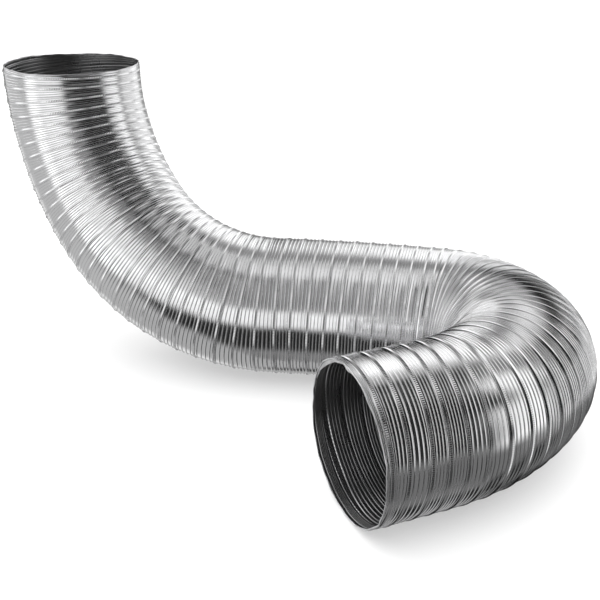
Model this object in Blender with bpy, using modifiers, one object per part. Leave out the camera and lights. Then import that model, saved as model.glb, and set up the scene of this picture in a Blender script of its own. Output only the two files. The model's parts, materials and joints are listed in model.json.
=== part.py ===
"""Semi-rigid aluminium air duct, 125 mm, lying on the floor in a U-turn with one end rising.

The duct is one long strip wound into a corrugated tube that bends anywhere along its length.
Here the tube is a chain of short stiff sections with a corrugated fold between each pair.
Every piece is first turned straight and is then laid along the duct's centreline.
"""
import math

import bpy
from mathutils import Matrix, Vector

# Cross-section, metres
BORE = 0.125
CORRUGATION_DEPTH = 0.0015
OUTER_RADIUS = BORE / 2 + CORRUGATION_DEPTH
INNER_RADIUS = BORE / 2
SIDES = 24

# Folds between the sections
FOLD_CREST_RADIUS = OUTER_RADIUS - 0.0003
FOLD_VALLEY_RADIUS = OUTER_RADIUS - 0.0010
FOLD_INNER_RADIUS = INNER_RADIUS - 0.0003
FACE_GAP = 0.0003

# Centreline: length in metres, bend in degrees, and the bend's plane in the duct's own axes,
# where 0 turns left, 90 turns up and more than 90 turns up and to the right
LEGS = (
    ("mouth", 0.068, 0.0, 0.0),
    ("turn_in", 0.100, 36.0, 0.0),
    ("turn", 0.146, 107.0, 0.0),
    ("run", 0.146, 9.2, 0.0),
    ("rise_low", 0.172, 52.7, 124.4),
    ("rise_high", 0.164, 47.8, 78.6),
)
MOUTH_HEADING = 22.8

# Sections: name, number, the legs they share, and how much of their length folds
GROUPS = (
    ("mouth", 4, ("mouth", "turn_in"), 0.35),
    ("turn", 6, ("turn",), 0.50),
    ("run", 4, ("run",), 0.35),
    ("riser", 8, ("rise_low", "rise_high"), 0.35),
)
ROOT_SECTION = "run_2"


def leg_length(names):
    """Length of centreline in the named legs."""
    return sum(length for name, length, bend, plane in LEGS if name in names)


def centreline(distance):
    """Frame of the centreline at a distance from the mouth: Z along the duct, Y up, X left."""
    heading = math.radians(MOUTH_HEADING)
    along = Vector((math.cos(heading), math.sin(heading), 0.0))
    up = Vector((0.0, 0.0, 1.0))
    left = up.cross(along)
    axes = Matrix((left, up, along)).transposed()
    point = Vector((0.0, 0.0, OUTER_RADIUS))
    for name, length, bend, plane in LEGS:
        travelled = min(max(distance, 0.0), length)
        last = name == LEGS[-1][0]
        if last:
            travelled = distance
        tilt = math.radians(plane)
        axis = axes @ Vector((-math.sin(tilt), math.cos(tilt), 0.0))
        along = axes @ Vector((0.0, 0.0, 1.0))
        rate = math.radians(bend) / length
        angle = rate * travelled
        if abs(rate) < 1e-9:
            point = point + along * travelled
        else:
            toward = axis.cross(along)
            point = point + (along * math.sin(angle) + toward * (1.0 - math.cos(angle))) / rate
        axes = Matrix.Rotation(angle, 3, axis) @ axes
        distance -= travelled
        if distance <= 0.0 and not last:
            break
    return Matrix.Translation(point) @ axes.to_4x4()


def plan_sections():
    """Name, start, end and fold share of every section, from the mouth to the top end."""
    plan = []
    start = 0.0
    for name, number, legs, fold in GROUPS:
        pitch = leg_length(legs) / number
        for index in range(number):
            plan.append((f"{name}_{index + 1}", start, start + pitch, fold))
            start += pitch
    return plan


def turned_tube(name, outline, collection):
    """Closed outline of (radius, height) points, running down its outer side, turned about Z."""
    mesh = bpy.data.meshes.new(name)
    count = len(outline)
    edges = [(index, (index + 1) % count) for index in range(count)]
    mesh.from_pydata([(radius, 0.0, height) for radius, height in outline], edges, [])
    profile = bpy.data.objects.new(name, mesh)
    collection.objects.link(profile)
    screw = profile.modifiers.new("Turn", "SCREW")
    screw.steps = SIDES
    screw.render_steps = SIDES
    screw.use_merge_vertices = True
    screw.merge_threshold = 0.00001
    graph = bpy.context.evaluated_depsgraph_get()
    turned = bpy.data.meshes.new_from_object(profile.evaluated_get(graph))
    bpy.data.objects.remove(profile)
    bpy.data.meshes.remove(mesh)
    return turned


def lay_along(mesh, name, middle, home, material, collection):
    """Bend a turned tube along the centreline around middle, with its origin at home."""
    frame = centreline(home)
    inverse = frame.inverted()
    for vertex in mesh.vertices:
        x, y, z = vertex.co
        vertex.co = inverse @ centreline(middle + z) @ Vector((x, y, 0.0))
    mesh.name = name
    mesh.shade_smooth()
    mesh.set_sharp_from_angle(angle=math.radians(40))
    mesh.materials.append(material)
    obj = bpy.data.objects.new(name, mesh)
    obj.matrix_world = frame
    collection.objects.link(obj)
    return obj


def section_outline(length):
    """Plain wall, with a ring of points in the middle so that it can bend."""
    half = length / 2
    return [
        (OUTER_RADIUS, half),
        (OUTER_RADIUS, 0.0),
        (OUTER_RADIUS, -half),
        (INNER_RADIUS, -half),
        (INNER_RADIUS, 0.0),
        (INNER_RADIUS, half),
    ]


def fold_outline(length):
    """Thin wall with two crests."""
    half = length / 2
    crests = [
        (FOLD_VALLEY_RADIUS if step % 2 == 0 else FOLD_CREST_RADIUS, half - length * step / 4)
        for step in range(5)
    ]
    return crests + [(FOLD_INNER_RADIUS, -half), (FOLD_INNER_RADIUS, 0.0), (FOLD_INNER_RADIUS, half)]


def foil(name, colour, roughness):
    """Bare aluminium."""
    material = bpy.data.materials.new(name)
    material.use_nodes = True
    shader = material.node_tree.nodes["Principled BSDF"]
    shader.inputs["Base Color"].default_value = (*colour, 1.0)
    shader.inputs["Metallic"].default_value = 1.0
    shader.inputs["Roughness"].default_value = roughness
    return material


def build():
    for obj in list(bpy.data.objects):
        bpy.data.objects.remove(obj, do_unlink=True)
    duct = bpy.data.collections.new("flexible_air_duct")
    bpy.context.scene.collection.children.link(duct)

    plan = plan_sections()
    root = [name for name, start, end, fold in plan].index(ROOT_SECTION)
    pieces = []
    for index, (name, start, end, fold) in enumerate(plan):
        pitch = end - start
        low = start if index == 0 else start + fold * pitch / 2
        high = end if index == len(plan) - 1 else end - fold * pitch / 2
        home = end if index < root else start
        if index == root:
            home = (start + end) / 2
        tube = turned_tube(name, section_outline(high - low), duct)
        material = foil(name, (0.80, 0.81, 0.82), 0.28)
        pieces.append(lay_along(tube, name, (low + high) / 2, home, material, duct))

        if index < len(plan) - 1:
            next_pitch = plan[index + 1][2] - end
            next_fold = plan[index + 1][3]
            low = high + FACE_GAP
            high = end + next_fold * next_pitch / 2 - FACE_GAP
            fold_name = f"fold_{index + 1:02d}"
            tube = turned_tube(fold_name, fold_outline(high - low), duct)
            material = foil(fold_name, (0.70, 0.71, 0.72), 0.34)
            pieces.append(lay_along(tube, fold_name, (low + high) / 2, end, material, duct))

    # The origin is the middle of the duct's footprint, on the floor
    bpy.context.view_layer.update()
    corners = [piece.matrix_world @ vertex.co for piece in pieces for vertex in piece.data.vertices]
    middle = Vector(
        (
            (min(corner.x for corner in corners) + max(corner.x for corner in corners)) / 2,
            (min(corner.y for corner in corners) + max(corner.y for corner in corners)) / 2,
            0.0,
        )
    )
    for piece in pieces:
        piece.location -= middle


build()
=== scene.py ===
"""Looks of the semi-rigid aluminium air duct: the wound, corrugated foil with its knurled seams.

Each joint of the duct gets one length of foil, from the middle of one section to the middle of
the next. It is made straight and laid along the duct's centreline.
"""

import json
import math

import bmesh
import bpy
import numpy as np
from mathutils import Euler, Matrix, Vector


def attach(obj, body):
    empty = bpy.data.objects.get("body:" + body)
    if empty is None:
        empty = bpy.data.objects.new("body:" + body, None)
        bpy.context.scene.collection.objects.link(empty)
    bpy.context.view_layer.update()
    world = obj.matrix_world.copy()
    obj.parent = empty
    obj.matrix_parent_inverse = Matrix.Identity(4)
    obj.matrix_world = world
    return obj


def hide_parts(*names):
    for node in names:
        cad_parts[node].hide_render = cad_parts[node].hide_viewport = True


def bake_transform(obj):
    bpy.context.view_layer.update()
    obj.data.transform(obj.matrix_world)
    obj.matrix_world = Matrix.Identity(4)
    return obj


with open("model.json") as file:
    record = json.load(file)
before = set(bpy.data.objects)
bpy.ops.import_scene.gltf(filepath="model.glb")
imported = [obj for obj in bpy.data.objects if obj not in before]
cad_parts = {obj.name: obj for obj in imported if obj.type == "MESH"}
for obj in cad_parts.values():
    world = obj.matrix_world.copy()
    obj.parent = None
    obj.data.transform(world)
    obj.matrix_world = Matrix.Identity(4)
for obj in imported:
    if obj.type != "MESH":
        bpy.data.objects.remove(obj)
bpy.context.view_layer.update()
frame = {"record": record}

# Centreline, as the CAD lays it: length in metres, bend in degrees and the bend's plane
LEGS = (
    ("mouth", 0.068, 0.0, 0.0),
    ("turn_in", 0.100, 36.0, 0.0),
    ("turn", 0.146, 107.0, 0.0),
    ("run", 0.146, 9.2, 0.0),
    ("rise_low", 0.172, 52.7, 124.4),
    ("rise_high", 0.164, 47.8, 78.6),
)
GROUPS = (
    ("mouth", 4, ("mouth", "turn_in")),
    ("turn", 6, ("turn",)),
    ("run", 4, ("run",)),
    ("riser", 8, ("rise_low", "rise_high")),
)
MOUTH_HEADING = 22.8
OUTER_RADIUS = 0.064
LENGTH = sum(length for name, length, bend, plane in LEGS)

# The strip's profile across one turn, metres
VALLEY = 0.0625
CREST_HEIGHT = 0.0008
SEAM_HEIGHT = 0.0013
FOIL_THICKNESS = 0.00012
SEAM_WIDTHS = ((0.10, 0.0040), (0.26, 0.0025))
KNURL_SHARE = 0.085
BULGE = 0.0012
SINK = 0.0008
COLUMNS = 128
TEETH = 256
CUT_MARGIN = 0.01
# Share of the seam's or the ridge's width, and height: a thin edge, the knurled band, a groove
SEAM_ROWS = (
    (0.00, 0.00),
    (0.06, 0.00),
    (0.16, 1.00),
    (0.27, 0.65),
    (0.80, 0.65),
    (0.88, 0.00),
    (0.94, 0.00),
)
KNURLED_ROWS = (3, 4)
CORRUGATIONS = 4
RIDGE_ROWS = (
    (0.30, 0.00),
    (0.37, 0.00),
    (0.44, 0.50),
    (0.50, 1.00),
    (0.56, 0.50),
    (0.63, 0.00),
    (0.70, 0.00),
)

# How uneven it is: dents, metres; how far the seams stray and the pitch varies, as shares
DENT = 0.0001
STRAY = (0.030, 0.022)
PITCH_SPREAD = 0.05

# Where the first seam passes the right side, and the strip's pitch at distances from the mouth
FIRST_SEAM = 0.003
PITCHES = (
    (0.000, 0.0090),
    (0.009, 0.0090),
    (0.012, 0.0200),
    (0.030, 0.0190),
    (0.034, 0.0145),
    (0.110, 0.0140),
    (0.170, 0.0100),
    (0.200, 0.0086),
    (0.290, 0.0086),
    (0.330, 0.0120),
    (0.370, 0.0152),
    (0.450, 0.0155),
    (0.520, 0.0140),
    (0.640, 0.0122),
    (0.800, 0.0120),
)

# Cut ends, metres: the gap to the CAD's ends, how far the edge strays and is dented, its bead,
# and the flap folded in at the mouth (from and to, degrees from the left, and how far it reaches)
END_GAP = 0.0005
EDGE_WANDER = 0.0009
EDGE_DENT = 0.0005
EDGE_DEPTH = 0.006
RIM_THICKNESS = 0.0005
RIM_COLUMNS = 288
RIM_SIDES = 8
LIP_ANGLES = (22.0, 108.0)
LIP_REACH = 0.0036
LIP_CREASE = 0.0030
LIP_CREASE_AT = 0.74
LIP_CREASE_HALF_WIDTH = 0.07
LIP_COLUMNS = 56
LIP_UNDER_EDGE = 0.0002
LIP_BEHIND_EDGE = 0.0004

# Foil: grey shade, smoothest and roughest
BRIGHT_FOIL = (0.88, 0.11, 0.19)
# The inner face's darker grey is painted shade inside the duct; its rougher gloss is the foil's
# matte side
MATTE_AND_SHADED_FOIL = (0.40, 0.24, 0.36)
# The cut edge's lighter grey is a painted highlight; its rougher gloss is the foil's own
EDGE_FOIL = (0.92, 0.34, 0.46)

# Studio surroundings that the foil reflects: azimuth from the camera's side, half width,
# lowest and highest elevation, degrees; strength
SOFTBOXES = (
    (-41.0, 34.0, -13.0, 14.0, 1.00),
    (-46.0, 23.0, 14.0, 72.0, 0.62),
    (-122.0, 22.0, 4.0, 52.0, 1.10),
    (-85.0, 55.0, 6.0, 85.0, 0.30),
    (-100.0, 45.0, -40.0, 2.0, 0.50),
    (-105.0, 62.0, -95.0, -40.0, 0.42),
    (-14.0, 30.0, -95.0, -56.0, 0.20),
    (78.0, 14.0, -18.0, 24.0, 1.00),
    (94.0, 11.0, 22.0, 50.0, 0.90),
    (-14.0, 18.0, 10.0, 66.0, 0.24),
    (48.0, 44.0, -66.0, -10.0, 0.15),
    (128.0, 28.0, -28.0, 22.0, 0.60),
    (156.0, 22.0, 6.0, 50.0, 0.80),
    (132.0, 48.0, -30.0, 56.0, 0.22),
    (180.0, 46.0, -58.0, -12.0, 0.40),
    (180.0, 38.0, 26.0, 74.0, 0.25),
    (0.0, 190.0, 72.0, 100.0, 0.60),
)
BASE_LIGHT = 0.02
BACKDROP = 1.0
BOX_EDGE = 7.0
OVERHEAD_POWER = 190.0
OVERHEAD_SIZE = 6.0
OVERHEAD_HEIGHT = 2.5
FLOOR_GREY = 0.55
FLOOR_GLOW = 0.45
FLOOR_RADIUS = 9.0

# Camera, from the centre of the mouth on the floor
CAMERA_FROM_MOUTH = (-0.0327, -0.5858, 0.4570)
CAMERA_TILT = 25.38
CAMERA_LENS = 58.1


# ---------------------------------------------------------------- the duct's centreline


def turned(vector, axis, angle):
    """Vector turned about axis by each of the angles."""
    cos = np.cos(angle)[:, None]
    sin = np.sin(angle)[:, None]
    return vector * cos + np.cross(axis, vector) * sin + axis * np.dot(axis, vector) * (1 - cos)


def centreline(distance):
    """Point, left, up and bend rates towards left and up, at each distance from the mouth."""
    heading = math.radians(MOUTH_HEADING)
    along = np.array((math.cos(heading), math.sin(heading), 0.0))
    up = np.array((0.0, 0.0, 1.0))
    left = np.cross(up, along)
    start = np.array((0.0, 0.0, OUTER_RADIUS))
    points = np.zeros((len(distance), 3))
    lefts = np.zeros_like(points)
    ups = np.zeros_like(points)
    rates = np.zeros((len(distance), 2))
    low = 0.0
    for index, (name, length, bend, plane) in enumerate(LEGS):
        first = -math.inf if index == 0 else low
        last = math.inf if index == len(LEGS) - 1 else low + length
        here = (distance >= first) & (distance < last)
        tilt = math.radians(plane)
        axis = up * math.cos(tilt) - left * math.sin(tilt)
        toward = np.cross(axis, along)
        rate = math.radians(bend) / length
        travelled = np.append(distance[here] - low, length)
        angle = rate * travelled
        if rate < 1e-9:
            laid = start + along * travelled[:, None]
        else:
            arc = along * np.sin(angle)[:, None] + toward * (1 - np.cos(angle))[:, None]
            laid = start + arc / rate
        points[here] = laid[:-1]
        lefts[here] = turned(left, axis, angle[:-1])
        ups[here] = turned(up, axis, angle[:-1])
        rates[here] = (rate * math.cos(tilt), rate * math.sin(tilt))
        start = laid[-1]
        left, up, along = (turned(side, axis, angle[-1:])[0] for side in (left, up, along))
        low += length
    return points, lefts, ups, rates


def sections():
    """Name, start and end of each section, from the mouth."""
    lengths = {name: length for name, length, bend, plane in LEGS}
    found = []
    start = 0.0
    for name, number, legs in GROUPS:
        pitch = sum(lengths[leg] for leg in legs) / number
        for index in range(number):
            found.append((f"{name}_{index + 1}", start, start + pitch))
            start += pitch
    return found


def mouth_centre():
    """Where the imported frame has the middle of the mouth, on the floor."""
    mount = next(m for m in frame["record"]["mounts"] if m["name"] == "mouth_end")
    return np.array((mount["pos_m"][0], mount["pos_m"][1], 0.0))


MOUTH = mouth_centre()


def lay(straight):
    """Straight points (left, up, distance) laid along the duct."""
    points, lefts, ups, rates = centreline(straight[:, 2])
    return MOUTH + points + lefts * straight[:, :1] + ups * straight[:, 1:2]


# Tables along the duct: the strip's pitch, the turns wound so far and the bend rates
STATIONS = np.linspace(-0.06, LENGTH + 0.06, 2400)
PITCH = np.interp(STATIONS, *zip(*PITCHES))
PITCH = PITCH * (1 + PITCH_SPREAD * np.sin(STATIONS * 137.0) * np.sin(STATIONS * 61.0 + 1.0))
TURNS = np.concatenate(([0.0], np.cumsum(np.diff(STATIONS) / PITCH[1:])))
TURNS = TURNS - np.interp(FIRST_SEAM, STATIONS, TURNS) + 19.5
KERNEL = np.exp(-0.5 * (np.linspace(-3, 3, 121)) ** 2)
RATES = np.stack(
    [
        np.convolve(np.pad(rate, 60, mode="edge"), KERNEL / KERNEL.sum(), mode="valid")
        for rate in centreline(STATIONS)[3].T
    ]
)


# ---------------------------------------------------------------- the wound strip


def strip_points(base, angle, part, share, height):
    """Straight points of one row of the strip. Part is seam or foil, share runs across it."""
    distance = np.interp(base, TURNS, STATIONS)
    pitch = np.interp(distance, STATIONS, PITCH)
    rate_left, rate_up = (np.interp(distance, STATIONS, rate) for rate in RATES)
    ratio = 1 - OUTER_RADIUS * (rate_left * np.cos(angle) + rate_up * np.sin(angle))
    squeeze = np.clip(1 - ratio, 0.0, 0.85)
    width = np.interp(distance, *zip(*SEAM_WIDTHS))
    seam = np.clip(width / (pitch * np.clip(ratio, 0.2, 2.0)), 0.12, 0.55)
    stray = STRAY[0] * np.sin(base * 4.1) + STRAY[1] * np.sin(base * 11.3 + 1.0)
    across = seam * share if part == "seam" else seam + (1 - seam) * share
    distance = np.interp(base + across + stray, TURNS, STATIONS)
    if part == "seam":
        rise = (SEAM_HEIGHT - SINK * squeeze) * height
    else:
        pressed = np.clip((squeeze - 0.10) / 0.30, 0, 1)
        depth = CREST_HEIGHT * (1 - 0.7 * pressed) / np.clip(ratio, 1, 2)
        rise = depth * height + BULGE * squeeze * math.sin(math.pi * share) ** 2
    uneven = DENT * np.sin(3 * angle + distance * 90) * np.sin(distance * 55 + 2 * angle)
    radius = VALLEY + rise + uneven - DENT
    return np.stack((radius * np.cos(angle), radius * np.sin(angle), distance), axis=-1)


def profile():
    """Part, share across it and height of each row of the strip, seam first."""
    rows = [("seam", share, height) for share, height in SEAM_ROWS]
    for ridge in range(CORRUGATIONS):
        for share, height in RIDGE_ROWS:
            rows.append(("foil", (ridge + share) / CORRUGATIONS, height))
    return rows


def strip():
    """Straight points, faces and which faces are flat, for the whole strip."""
    rows = profile()
    per_column = 2 * TEETH // COLUMNS
    first = int(np.interp(-0.02, STATIONS, TURNS))
    last = int(np.interp(LENGTH + 0.02, STATIONS, TURNS)) + 1
    turns = np.arange(first, last)
    points = []
    indices = []
    total = 0
    for index, (part, share, height) in enumerate(rows):
        columns = 2 * TEETH if index in KNURLED_ROWS else COLUMNS
        angle = np.arange(columns) * (2 * math.pi / columns)
        angle = np.broadcast_to(angle, (len(turns), columns))
        base = turns[:, None] - angle / (2 * math.pi)
        row = strip_points(base, angle, part, share, height)
        if index in KNURLED_ROWS:
            depth = KNURL_SHARE * np.interp(row[..., 2], *zip(*SEAM_WIDTHS))
            row[..., :2] *= (1 - depth / OUTER_RADIUS * (np.arange(columns) % 2))[..., None]
        number = total + np.arange(len(turns) * columns).reshape(len(turns), columns)
        wrapped = np.concatenate((number[1:], number[:-1, :1]), axis=1)
        indices.append(wrapped)
        points.append(row.reshape(-1, 3))
        total += row.shape[0] * row.shape[1]
    faces = []
    flat = []
    for index in range(len(rows)):
        low = indices[index]
        high = indices[index + 1] if index + 1 < len(rows) else indices[0][1:]
        low = low[: len(high)]
        sides = []
        for side, step in ((low, low.shape[1] // COLUMNS), (high, high.shape[1] // COLUMNS)):
            if low.shape[1] == high.shape[1]:
                step = 1
            columns = (side.shape[1] - 1) // step
            starts = np.arange(columns) * step
            sides.append(side[:, starts[:, None] + np.arange(step + 1)].reshape(-1, step + 1))
        quads = np.concatenate((sides[0], sides[1][:, ::-1]), axis=1)
        faces.extend(quads.tolist())
        flat.extend([index == KNURLED_ROWS[0]] * len(quads))
    return np.concatenate(points), faces, np.array(flat)


def make_mesh(name, points, faces, flat):
    mesh = bpy.data.meshes.new(name)
    mesh.from_pydata(points.tolist(), [], faces)
    mesh.polygons.foreach_set("use_smooth", ~flat)
    return mesh


def smooth_normals(points, faces, flat):
    """Normals of the laid strip's points, from its smooth faces."""
    smooth = [face for face, is_flat in zip(faces, flat) if not is_flat]
    mesh = make_mesh("strip", lay(points), smooth, np.zeros(len(smooth), bool))
    normals = np.empty(len(points) * 3)
    mesh.vertex_normals.foreach_get("vector", normals)
    bpy.data.meshes.remove(mesh)
    return normals.reshape(-1, 3)


def cut_length(name, whole, start, end):
    """The strip from start to end along the duct, still straight, with its normals kept."""
    points, normals, faces, flat, middles = whole
    chosen = np.nonzero((middles > start - CUT_MARGIN) & (middles < end + CUT_MARGIN))[0]
    picked = [faces[index] for index in chosen]
    used = np.unique(np.concatenate([np.array(face) for face in picked]))
    renumbered = np.zeros(len(points), int)
    renumbered[used] = np.arange(len(used))
    picked = [renumbered[list(face)].tolist() for face in picked]
    mesh = make_mesh(name, points[used], picked, flat[chosen])
    kept = mesh.attributes.new("kept_normal", "FLOAT_VECTOR", "POINT")
    kept.data.foreach_set("vector", normals[used].ravel())
    bm = bmesh.new()
    bm.from_mesh(mesh)
    for place, below in ((start, True), (end, False)):
        parts = bm.verts[:] + bm.edges[:] + bm.faces[:]
        bmesh.ops.bisect_plane(
            bm,
            geom=parts,
            dist=1e-7,
            plane_co=(0, 0, place),
            plane_no=(0, 0, 1),
            clear_inner=below,
            clear_outer=not below,
        )
    bm.to_mesh(mesh)
    bm.free()
    return mesh


def lined(outer):
    """The same mesh with the foil's inner face added, and material 1 on that face."""
    points = coordinates(outer)
    count = len(points)
    scale = 1 - FOIL_THICKNESS / np.hypot(points[:, 0], points[:, 1])
    inner = points * np.stack((scale, scale, np.ones(count)), axis=-1)
    faces = [tuple(face.vertices) for face in outer.polygons]
    smooth = np.empty(len(faces), bool)
    outer.polygons.foreach_get("use_smooth", smooth)
    normals = np.empty(count * 3)
    outer.attributes["kept_normal"].data.foreach_get("vector", normals)
    turned_over = [tuple(corner + count for corner in face[::-1]) for face in faces]
    name = outer.name
    bpy.data.meshes.remove(outer)
    mesh = make_mesh(
        name, np.concatenate((points, inner)), faces + turned_over, ~np.tile(smooth, 2)
    )
    kept = mesh.attributes.new("kept_normal", "FLOAT_VECTOR", "POINT")
    kept.data.foreach_set("vector", np.concatenate((normals, -normals)))
    # Material 1, on the inner face, is a darker grey as painted shade inside the duct
    mesh.polygons.foreach_set("material_index", np.repeat((0, 1), len(faces)))
    return mesh


def coordinates(mesh):
    flat = np.empty(len(mesh.vertices) * 3)
    mesh.vertices.foreach_get("co", flat)
    return flat.reshape(-1, 3)


def lay_mesh(mesh):
    """Lays a straight mesh along the duct and gives it the whole strip's normals."""
    mesh.vertices.foreach_set("co", lay(coordinates(mesh)).astype(np.float32).ravel())
    mesh.update()
    kept = mesh.attributes.get("kept_normal")
    if kept is None:
        return
    normals = np.empty(len(mesh.vertices) * 3)
    kept.data.foreach_get("vector", normals)
    normals = normals.reshape(-1, 3)
    corners = np.empty(len(mesh.loops), int)
    mesh.loops.foreach_get("vertex_index", corners)
    normals = normals[corners]
    sizes = np.empty(len(mesh.polygons), int)
    mesh.polygons.foreach_get("loop_total", sizes)
    smooth = np.empty(len(mesh.polygons), bool)
    mesh.polygons.foreach_get("use_smooth", smooth)
    facing = np.empty(len(mesh.polygons) * 3)
    mesh.polygons.foreach_get("normal", facing)
    owner = np.repeat(np.arange(len(sizes)), sizes)
    is_flat = ~smooth[owner]
    normals[is_flat] = facing.reshape(-1, 3)[owner[is_flat]]
    normals /= np.maximum(np.linalg.norm(normals, axis=1), 1e-9)[:, None]
    mesh.attributes.remove(mesh.attributes["kept_normal"])
    mesh.normals_split_custom_set(normals.tolist())


def wander(angle):
    """How far the hand-cut edge strays along the duct, going round it."""
    slow = np.sin(2 * angle + 0.6) + 0.6 * np.sin(5 * angle + 1.0)
    quick = 0.35 * np.sin(13 * angle + 2.0) + 0.25 * np.sin(29 * angle)
    return EDGE_WANDER * (1.0 + 0.45 * (slow + quick))


def dent(angle):
    """How far the thin edge is pushed in, going round it."""
    ripple = np.sin(9 * angle + 0.4) * np.sin(4 * angle + 1.0) + 0.5 * np.sin(21 * angle)
    return EDGE_DENT * (1.0 + 0.6 * ripple)


def cut_by_hand(mesh, edge, inward):
    """Moves the points near the duct's end so that its edge strays."""
    points = coordinates(mesh)
    near = np.clip(1 - np.abs(points[:, 2] - edge) / EDGE_DEPTH, 0, 1)
    angle = np.arctan2(points[:, 1], points[:, 0])
    points[:, 2] += inward * near * wander(angle)
    scale = 1 - near * dent(angle) / OUTER_RADIUS
    points[:, :2] *= scale[:, None]
    mesh.vertices.foreach_set("co", points.astype(np.float32).ravel())
    mesh.update()


def ring_at(points, distance):
    """Radius of the cut edge all round, from the points that lie on it."""
    edge = points[np.abs(points[:, 2] - distance) < 1e-6]
    angle = np.arctan2(edge[:, 1], edge[:, 0]) % (2 * math.pi)
    order = np.argsort(angle)
    radius = np.hypot(edge[:, 0], edge[:, 1])
    return angle[order], radius[order]


def rim_mesh(name, angle, radius, distance, inward):
    """The turned edge of the foil: a thin bead that wanders a little, straight."""
    around = np.arange(RIM_COLUMNS) * (2 * math.pi / RIM_COLUMNS)
    radius = np.interp(around, angle, radius, period=2 * math.pi) - dent(around)
    waver = 0.5 + 0.25 * np.sin(7 * around + 1.0) + 0.25 * np.sin(23 * around)
    thick = RIM_THICKNESS * (0.6 + 0.8 * waver)
    start = distance + inward * (wander(around) - RIM_THICKNESS)
    points = []
    for step in range(RIM_SIDES):
        turn = 2 * math.pi * step / RIM_SIDES
        out = np.minimum(radius + thick * math.cos(turn), OUTER_RADIUS - 0.00005)
        back = start + inward * thick * (1 + math.sin(turn))
        points.append(np.stack((out * np.cos(around), out * np.sin(around), back), axis=-1))
    faces = []
    for step in range(RIM_SIDES):
        after = (step + 1) % RIM_SIDES
        for column in range(RIM_COLUMNS):
            beside = (column + 1) % RIM_COLUMNS
            low, high = step * RIM_COLUMNS, after * RIM_COLUMNS
            faces.append((low + column, low + beside, high + beside, high + column)[::-inward])
    return make_mesh(name, np.concatenate(points), faces, np.zeros(len(faces), bool))


def lip_mesh(name, angle, radius, distance):
    """A flap of the mouth's edge, bent inwards by hand, straight."""
    share = np.linspace(0, 1, LIP_COLUMNS)
    around = np.radians(LIP_ANGLES[0] + (LIP_ANGLES[1] - LIP_ANGLES[0]) * share)
    edge = np.interp(around, angle, radius, period=2 * math.pi) - dent(around) - LIP_UNDER_EDGE
    reach = LIP_REACH * np.sin(math.pi * share) ** 0.6 * (0.8 + 0.2 * np.sin(9 * around))
    crease = np.abs(share - LIP_CREASE_AT) / LIP_CREASE_HALF_WIDTH
    reach += LIP_CREASE * np.clip(1 - crease, 0, 1)
    loop = [(across, 0) for across in (0.0, 0.35, 0.7, 1.0)]
    loop += [(across, 1) for across, side in reversed(loop)]
    points = []
    for across, side in loop:
        out = edge - reach * across
        back = distance + wander(around) + LIP_BEHIND_EDGE + side * 2 * FOIL_THICKNESS
        back = back + reach * across * (0.5 + 0.25 * np.sin(23 * around + 3 * across))
        points.append(np.stack((out * np.cos(around), out * np.sin(around), back), axis=-1))
    faces = []
    for step in range(len(loop)):
        low, high = step * LIP_COLUMNS, (step + 1) % len(loop) * LIP_COLUMNS
        for column in range(LIP_COLUMNS - 1):
            faces.append((low + column, low + column + 1, high + column + 1, high + column))
    for column in (0, LIP_COLUMNS - 1):
        faces.append([step * LIP_COLUMNS + column for step in range(len(loop))])
    mesh = make_mesh(name, np.concatenate(points), faces, np.ones(len(faces), bool))
    bm = bmesh.new()
    bm.from_mesh(mesh)
    bmesh.ops.recalc_face_normals(bm, faces=bm.faces)
    bm.to_mesh(mesh)
    bm.free()
    return mesh


def show(name, mesh, *materials):
    piece = bpy.data.objects.new(name, mesh)
    bpy.context.scene.collection.objects.link(piece)
    for material in materials:
        mesh.materials.append(material)
    return piece


# ---------------------------------------------------------------- material


def aluminium(name, shade, smoothest, roughest):
    """Rolled foil of a grey shade: slightly uneven gloss with fine rolling marks."""
    material = bpy.data.materials.new(name)
    material.use_nodes = True
    tree = material.node_tree
    shader = tree.nodes["Principled BSDF"]
    shader.inputs["Base Color"].default_value = (shade, shade, shade * 1.01, 1)
    shader.inputs["Metallic"].default_value = 1.0
    place = tree.nodes.new("ShaderNodeTexCoord")
    cloud = tree.nodes.new("ShaderNodeTexNoise")
    cloud.inputs["Scale"].default_value = 60.0
    cloud.inputs["Detail"].default_value = 4.0
    spread = tree.nodes.new("ShaderNodeMapRange")
    spread.inputs["From Min"].default_value = 0.3
    spread.inputs["From Max"].default_value = 0.7
    spread.inputs["To Min"].default_value = smoothest
    spread.inputs["To Max"].default_value = roughest
    grain = tree.nodes.new("ShaderNodeTexNoise")
    grain.inputs["Scale"].default_value = 900.0
    grain.inputs["Detail"].default_value = 3.0
    bump = tree.nodes.new("ShaderNodeBump")
    bump.inputs["Strength"].default_value = 0.25
    bump.inputs["Distance"].default_value = 0.00002
    tree.links.new(place.outputs["Object"], cloud.inputs["Vector"])
    tree.links.new(place.outputs["Object"], grain.inputs["Vector"])
    tree.links.new(cloud.outputs["Fac"], spread.inputs["Value"])
    tree.links.new(spread.outputs["Result"], shader.inputs["Roughness"])
    tree.links.new(grain.outputs["Fac"], bump.inputs["Height"])
    tree.links.new(bump.outputs["Normal"], shader.inputs["Normal"])
    return material


# ---------------------------------------------------------------- the duct


def whole_strip():
    """The strip's straight points, laid normals, faces, which faces are flat, and their places."""
    points, faces, flat = strip()
    middles = np.array([points[face[0], 2] for face in faces])
    return points, smooth_normals(points, faces, flat), faces, flat, middles


def finish_end(straight, edge, inward, body, foil):
    """The bead round a cut end, and at the mouth its folded flap, both riding on body."""
    at_mouth = inward > 0
    angle, radius = ring_at(straight, edge)
    name = "mouth_rim" if at_mouth else "riser_rim"
    rim = rim_mesh(name, angle, radius, edge, inward)
    lay_mesh(rim)
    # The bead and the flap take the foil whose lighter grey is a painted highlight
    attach(show(name, rim, foil), body)
    if at_mouth:
        lip = lip_mesh("mouth_lip", angle, radius, edge)
        lay_mesh(lip)
        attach(show("mouth_lip", lip, foil), body)


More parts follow.
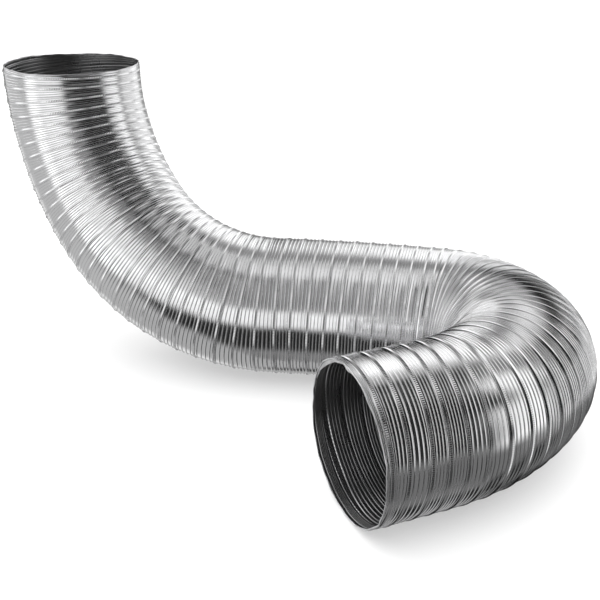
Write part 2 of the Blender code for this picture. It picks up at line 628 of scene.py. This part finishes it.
def make_duct():
    """One length of foil for each joint, from the middle of its first section to its second's."""
    bright = aluminium("bright_foil", *BRIGHT_FOIL)
    # Foil for the inner face: darker grey painted as shade inside the duct, rougher as the matte
    # side
    matte_and_shaded = aluminium("matte_and_shaded_foil", *MATTE_AND_SHADED_FOIL)
    # Foil for the cut edges: lighter grey painted as a highlight, with a rougher gloss
    edge_foil = aluminium("edge_foil", *EDGE_FOIL)
    whole = whole_strip()
    lengths = sections()
    last_joint = len(lengths) - 1
    for index in range(last_joint):
        low_name, low_start, low_end = lengths[index]
        high_name, high_start, high_end = lengths[index + 1]
        low_middle = (low_start + low_end) / 2
        high_middle = (high_start + high_end) / 2
        is_first = index == 0
        is_last = index == last_joint - 1
        begin = END_GAP if is_first else low_middle
        finish = LENGTH - END_GAP if is_last else high_middle
        name = f"foil_{index + 1:02d}"
        mesh = cut_length(name, whole, begin, finish)
        straight = coordinates(mesh)
        if is_first:
            cut_by_hand(mesh, begin, 1)
        if is_last:
            cut_by_hand(mesh, finish, -1)
        mesh = lined(mesh)
        # The inner face gets the foil whose darker grey is painted shade
        piece = show(name, mesh, bright, matte_and_shaded)
        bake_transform(piece)
        lay_mesh(mesh)
        replaced = [low_name, f"fold_{index + 1:02d}"] + ([high_name] if is_last else [])
        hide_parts(*replaced)
        if is_first:
            finish_end(straight, begin, 1, low_name, edge_foil)
        if is_last:
            finish_end(straight, finish, -1, high_name, edge_foil)


# ---------------------------------------------------------------- floor, light and camera


def stage_floor():
    bm = bmesh.new()
    bmesh.ops.create_circle(bm, cap_ends=True, segments=96, radius=FLOOR_RADIUS)
    mesh = bpy.data.meshes.new("floor")
    bm.to_mesh(mesh)
    bm.free()
    floor = bpy.data.objects.new("floor", mesh)
    floor.location.z = -0.0002
    bpy.context.scene.collection.objects.link(floor)
    material = bpy.data.materials.new("floor")
    material.use_nodes = True
    shader = material.node_tree.nodes["Principled BSDF"]
    shader.inputs["Base Color"].default_value = (FLOOR_GREY, FLOOR_GREY, FLOOR_GREY, 1)
    shader.inputs["Emission Color"].default_value = (1, 1, 1, 1)
    shader.inputs["Emission Strength"].default_value = FLOOR_GLOW
    shader.inputs["Roughness"].default_value = 0.9
    shader.inputs["Specular IOR Level"].default_value = 0.1
    mesh.materials.append(material)
    floor.visible_glossy = False


def world_light():
    world = bpy.data.worlds.new("studio")
    bpy.context.scene.world = world
    world.use_nodes = True
    tree = world.node_tree
    tree.nodes.clear()
    place = tree.nodes.new("ShaderNodeTexCoord")
    axes = tree.nodes.new("ShaderNodeSeparateXYZ")
    tree.links.new(place.outputs["Generated"], axes.inputs[0])

    def calculate(kind, *values):
        node = tree.nodes.new("ShaderNodeMath")
        node.operation = kind
        for socket, value in zip(node.inputs, values):
            if isinstance(value, (int, float)):
                socket.default_value = value
            else:
                tree.links.new(value, socket)
        return node.outputs[0]

    def inside(value, half):
        node = tree.nodes.new("ShaderNodeMapRange")
        node.interpolation_type = "SMOOTHSTEP"
        tree.links.new(calculate("ABSOLUTE", value), node.inputs["Value"])
        node.inputs["From Min"].default_value = half - BOX_EDGE
        node.inputs["From Max"].default_value = half + BOX_EDGE
        node.inputs["To Min"].default_value = 1.0
        node.inputs["To Max"].default_value = 0.0
        return node.outputs["Result"]

    back = calculate("MULTIPLY", axes.outputs["Y"], -1.0)
    azimuth = calculate("DEGREES", calculate("ARCTAN2", axes.outputs["X"], back))
    elevation = calculate("DEGREES", calculate("ARCSINE", axes.outputs["Z"]))
    total = BASE_LIGHT
    for middle, half_width, low, high, strength in SOFTBOXES:
        aside = calculate("WRAP", calculate("SUBTRACT", azimuth, middle), 180.0, -180.0)
        above = calculate("SUBTRACT", elevation, (low + high) / 2)
        mask = calculate("MULTIPLY", inside(aside, half_width), inside(above, (high - low) / 2))
        total = calculate("ADD", total, calculate("MULTIPLY", mask, strength))
    lit = tree.nodes.new("ShaderNodeBackground")
    lit.inputs["Color"].default_value = (1, 1, 1, 1)
    tree.links.new(total, lit.inputs["Strength"])
    seen = tree.nodes.new("ShaderNodeBackground")
    seen.inputs["Color"].default_value = (1, 1, 1, 1)
    seen.inputs["Strength"].default_value = BACKDROP
    path = tree.nodes.new("ShaderNodeLightPath")
    mix = tree.nodes.new("ShaderNodeMixShader")
    output = tree.nodes.new("ShaderNodeOutputWorld")
    tree.links.new(path.outputs["Is Camera Ray"], mix.inputs["Fac"])
    tree.links.new(lit.outputs[0], mix.inputs[1])
    tree.links.new(seen.outputs[0], mix.inputs[2])
    tree.links.new(mix.outputs[0], output.inputs["Surface"])


def overhead_light():
    """Soft light that only the floor shows."""
    data = bpy.data.lights.new("overhead", "AREA")
    data.shape = "DISK"
    data.size = OVERHEAD_SIZE
    data.energy = OVERHEAD_POWER
    light = bpy.data.objects.new("overhead", data)
    light.location = (0, 0, OVERHEAD_HEIGHT)
    light.visible_glossy = False
    light.visible_camera = False
    bpy.context.scene.collection.objects.link(light)


def add_camera():
    data = bpy.data.cameras.new("camera")
    data.lens = CAMERA_LENS
    data.clip_start = 0.01
    camera = bpy.data.objects.new("camera", data)
    bpy.context.scene.collection.objects.link(camera)
    camera.location = Vector(MOUTH) + Vector(CAMERA_FROM_MOUTH)
    camera.rotation_euler = Euler((math.radians(90 - CAMERA_TILT), 0, 0))
    bpy.context.scene.camera = camera


make_duct()
stage_floor()
world_light()
overhead_light()
add_camera()
bpy.context.scene.view_settings.view_transform = "Standard"
